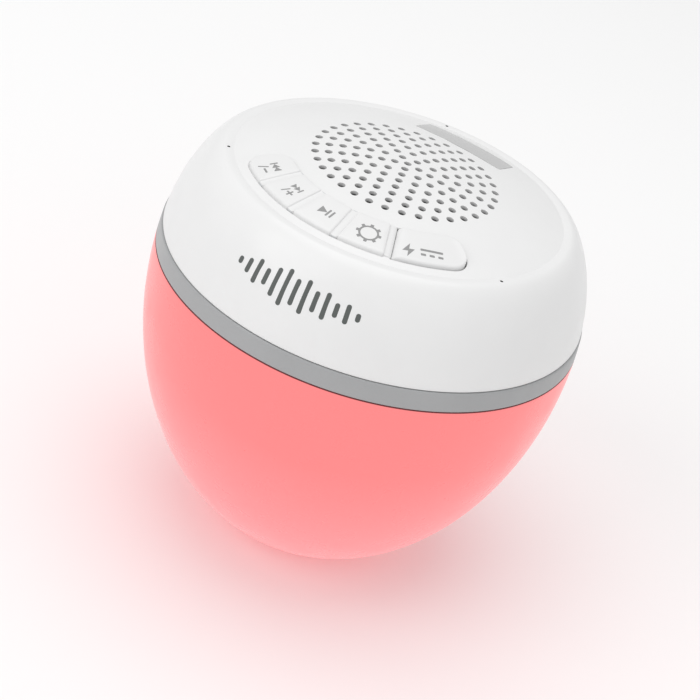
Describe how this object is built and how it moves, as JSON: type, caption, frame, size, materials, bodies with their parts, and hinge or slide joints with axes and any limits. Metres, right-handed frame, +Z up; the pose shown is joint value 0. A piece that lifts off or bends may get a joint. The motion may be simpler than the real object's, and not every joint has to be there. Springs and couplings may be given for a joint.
{
  "type": "shower speaker",
  "caption": "Round splash-proof shower speaker with a domed white top, perforated grille, key strip, covered charging port, grey ring and a glowing translucent bowl.",
  "frame": {"origin": "centre of the flat underside of the bowl, on the surface the speaker stands on", "axes": "+Z up along the body's axis, -Y towards the front, where the key strip and the front mark are"},
  "size_m": [0.1094, 0.1094, 0.106],
  "materials": {
    "shell_white": "white moulded ABS, fine satin texture",
    "band_grey": "mid grey satin plastic ring",
    "bowl_glow": "milky translucent plastic, lit from inside",
    "seal_rubber": "black silicone",
    "grille_mesh": "dark grey acoustic mesh",
    "window_grey": "light grey translucent window",
    "board_green": "green solder-masked circuit board",
    "board_white": "white solder-masked circuit board",
    "led_white": "white package with a phosphor window",
    "screw_steel": "nickel plated steel",
    "can_metal": "tin plated steel sheet",
    "vent_fabric": "breathable membrane",
    "keypad_rubber": "white silicone",
    "key_white": "white key cap with grey printed symbol",
    "switch_black": "black moulded switch plastic",
    "cover_rubber": "white elastomer",
    "gasket_foam": "closed cell foam",
    "basket_steel": "black painted pressed steel",
    "cone_paper": "black coated paper",
    "spider_fabric": "resin stiffened cotton",
    "coil_copper": "enamelled copper wire on a film former",
    "plate_steel": "zinc plated steel",
    "magnet_ceramic": "ferrite",
    "tag_brass": "tinned brass tags on a strip",
    "tray_white": "white moulded ABS",
    "chip_black": "black moulded package",
    "capacitor_sleeve": "shrink sleeve",
    "connector_cream": "nylon connector",
    "battery_sleeve": "blue shrink sleeve",
    "lead_red": "insulated lead",
    "lead_black": "insulated lead",
    "lead_white": "insulated lead",
    "ribbon_film": "polyimide flexible circuit"
  },
  "bodies": {
    "housing": {"top_shell": "shell_white", "ring_band": "band_grey", "light_bowl": "bowl_glow", "shell_seal": "seal_rubber", "bowl_seal": "seal_rubber", "grille_mesh": "grille_mesh", "status_window": "window_grey", "status_board": "board_green", "status_leds": "led_white", "status_screws": "screw_steel", "microphone": "can_metal", "microphone_boot": "seal_rubber", "vent_membranes": "vent_fabric", "keypad_membrane": "keypad_rubber", "button_board": "board_green", "switch_bodies": "switch_black", "button_board_screws": "screw_steel", "socket_shell": "can_metal", "socket_tongue": "switch_black", "driver_gasket": "gasket_foam", "driver_basket": "basket_steel", "driver_screws": "screw_steel", "driver_surround": "seal_rubber", "driver_spider": "spider_fabric", "driver_top_plate": "plate_steel", "driver_magnet": "magnet_ceramic", "driver_yoke": "plate_steel", "driver_terminals": "tag_brass", "chassis_tray": "tray_white", "chassis_screws": "screw_steel", "main_board": "board_green", "main_board_screws": "screw_steel", "amplifier_chip": "chip_black", "charge_chip": "chip_black", "wireless_module": "can_metal", "power_capacitors": "capacitor_sleeve", "power_inductor": "magnet_ceramic", "board_connectors": "connector_cream", "battery_cell": "battery_sleeve", "battery_tabs": "can_metal", "battery_cradle": "tray_white", "battery_leads": "lead_red", "speaker_leads": "lead_black", "light_leads": "lead_white", "button_ribbon": "ribbon_film", "light_board": "board_white", "light_leds": "led_white", "light_board_screws": "screw_steel"},
    "key_previous": {"key_previous": "key_white", "switch_plunger_previous": "switch_black"},
    "key_next": {"key_next": "key_white", "switch_plunger_next": "switch_black"},
    "key_play": {"key_play": "key_white", "switch_plunger_play": "switch_black"},
    "key_light": {"key_light": "key_white", "switch_plunger_light": "switch_black"},
    "port_cover": {"port_cover": "cover_rubber"},
    "cone": {"driver_cone": "cone_paper", "driver_dust_cap": "cone_paper", "voice_coil": "coil_copper"}
  },
  "joints": [
    {"name": "press_previous", "type": "slide", "parent": "housing", "child": "key_previous", "axis": [0, 0, -1], "range_m": [0, 0.0004], "stiffness_N_per_m": 1500},
    {"name": "press_next", "type": "slide", "parent": "housing", "child": "key_next", "axis": [0, 0, -1], "range_m": [0, 0.0004], "stiffness_N_per_m": 1500},
    {"name": "press_play", "type": "slide", "parent": "housing", "child": "key_play", "axis": [0, 0, -1], "range_m": [0, 0.0004], "stiffness_N_per_m": 1500},
    {"name": "press_light", "type": "slide", "parent": "housing", "child": "key_light", "axis": [0, 0, -1], "range_m": [0, 0.0004], "stiffness_N_per_m": 1500},
    {"name": "cover_hinge", "type": "hinge", "parent": "housing", "child": "port_cover", "pos_m": [0.01417, -0.03103, 0.10083], "axis": [0.3323, -0.9131, -0.2363], "range_deg": [0, 100]},
    {"name": "cone_excursion", "type": "slide", "parent": "housing", "child": "cone", "axis": [0, 0, 1], "range_m": [-0.0012, 0.0012], "stiffness_N_per_m": 1800, "deforming": ["driver_surround", "driver_spider"]}
  ]
}
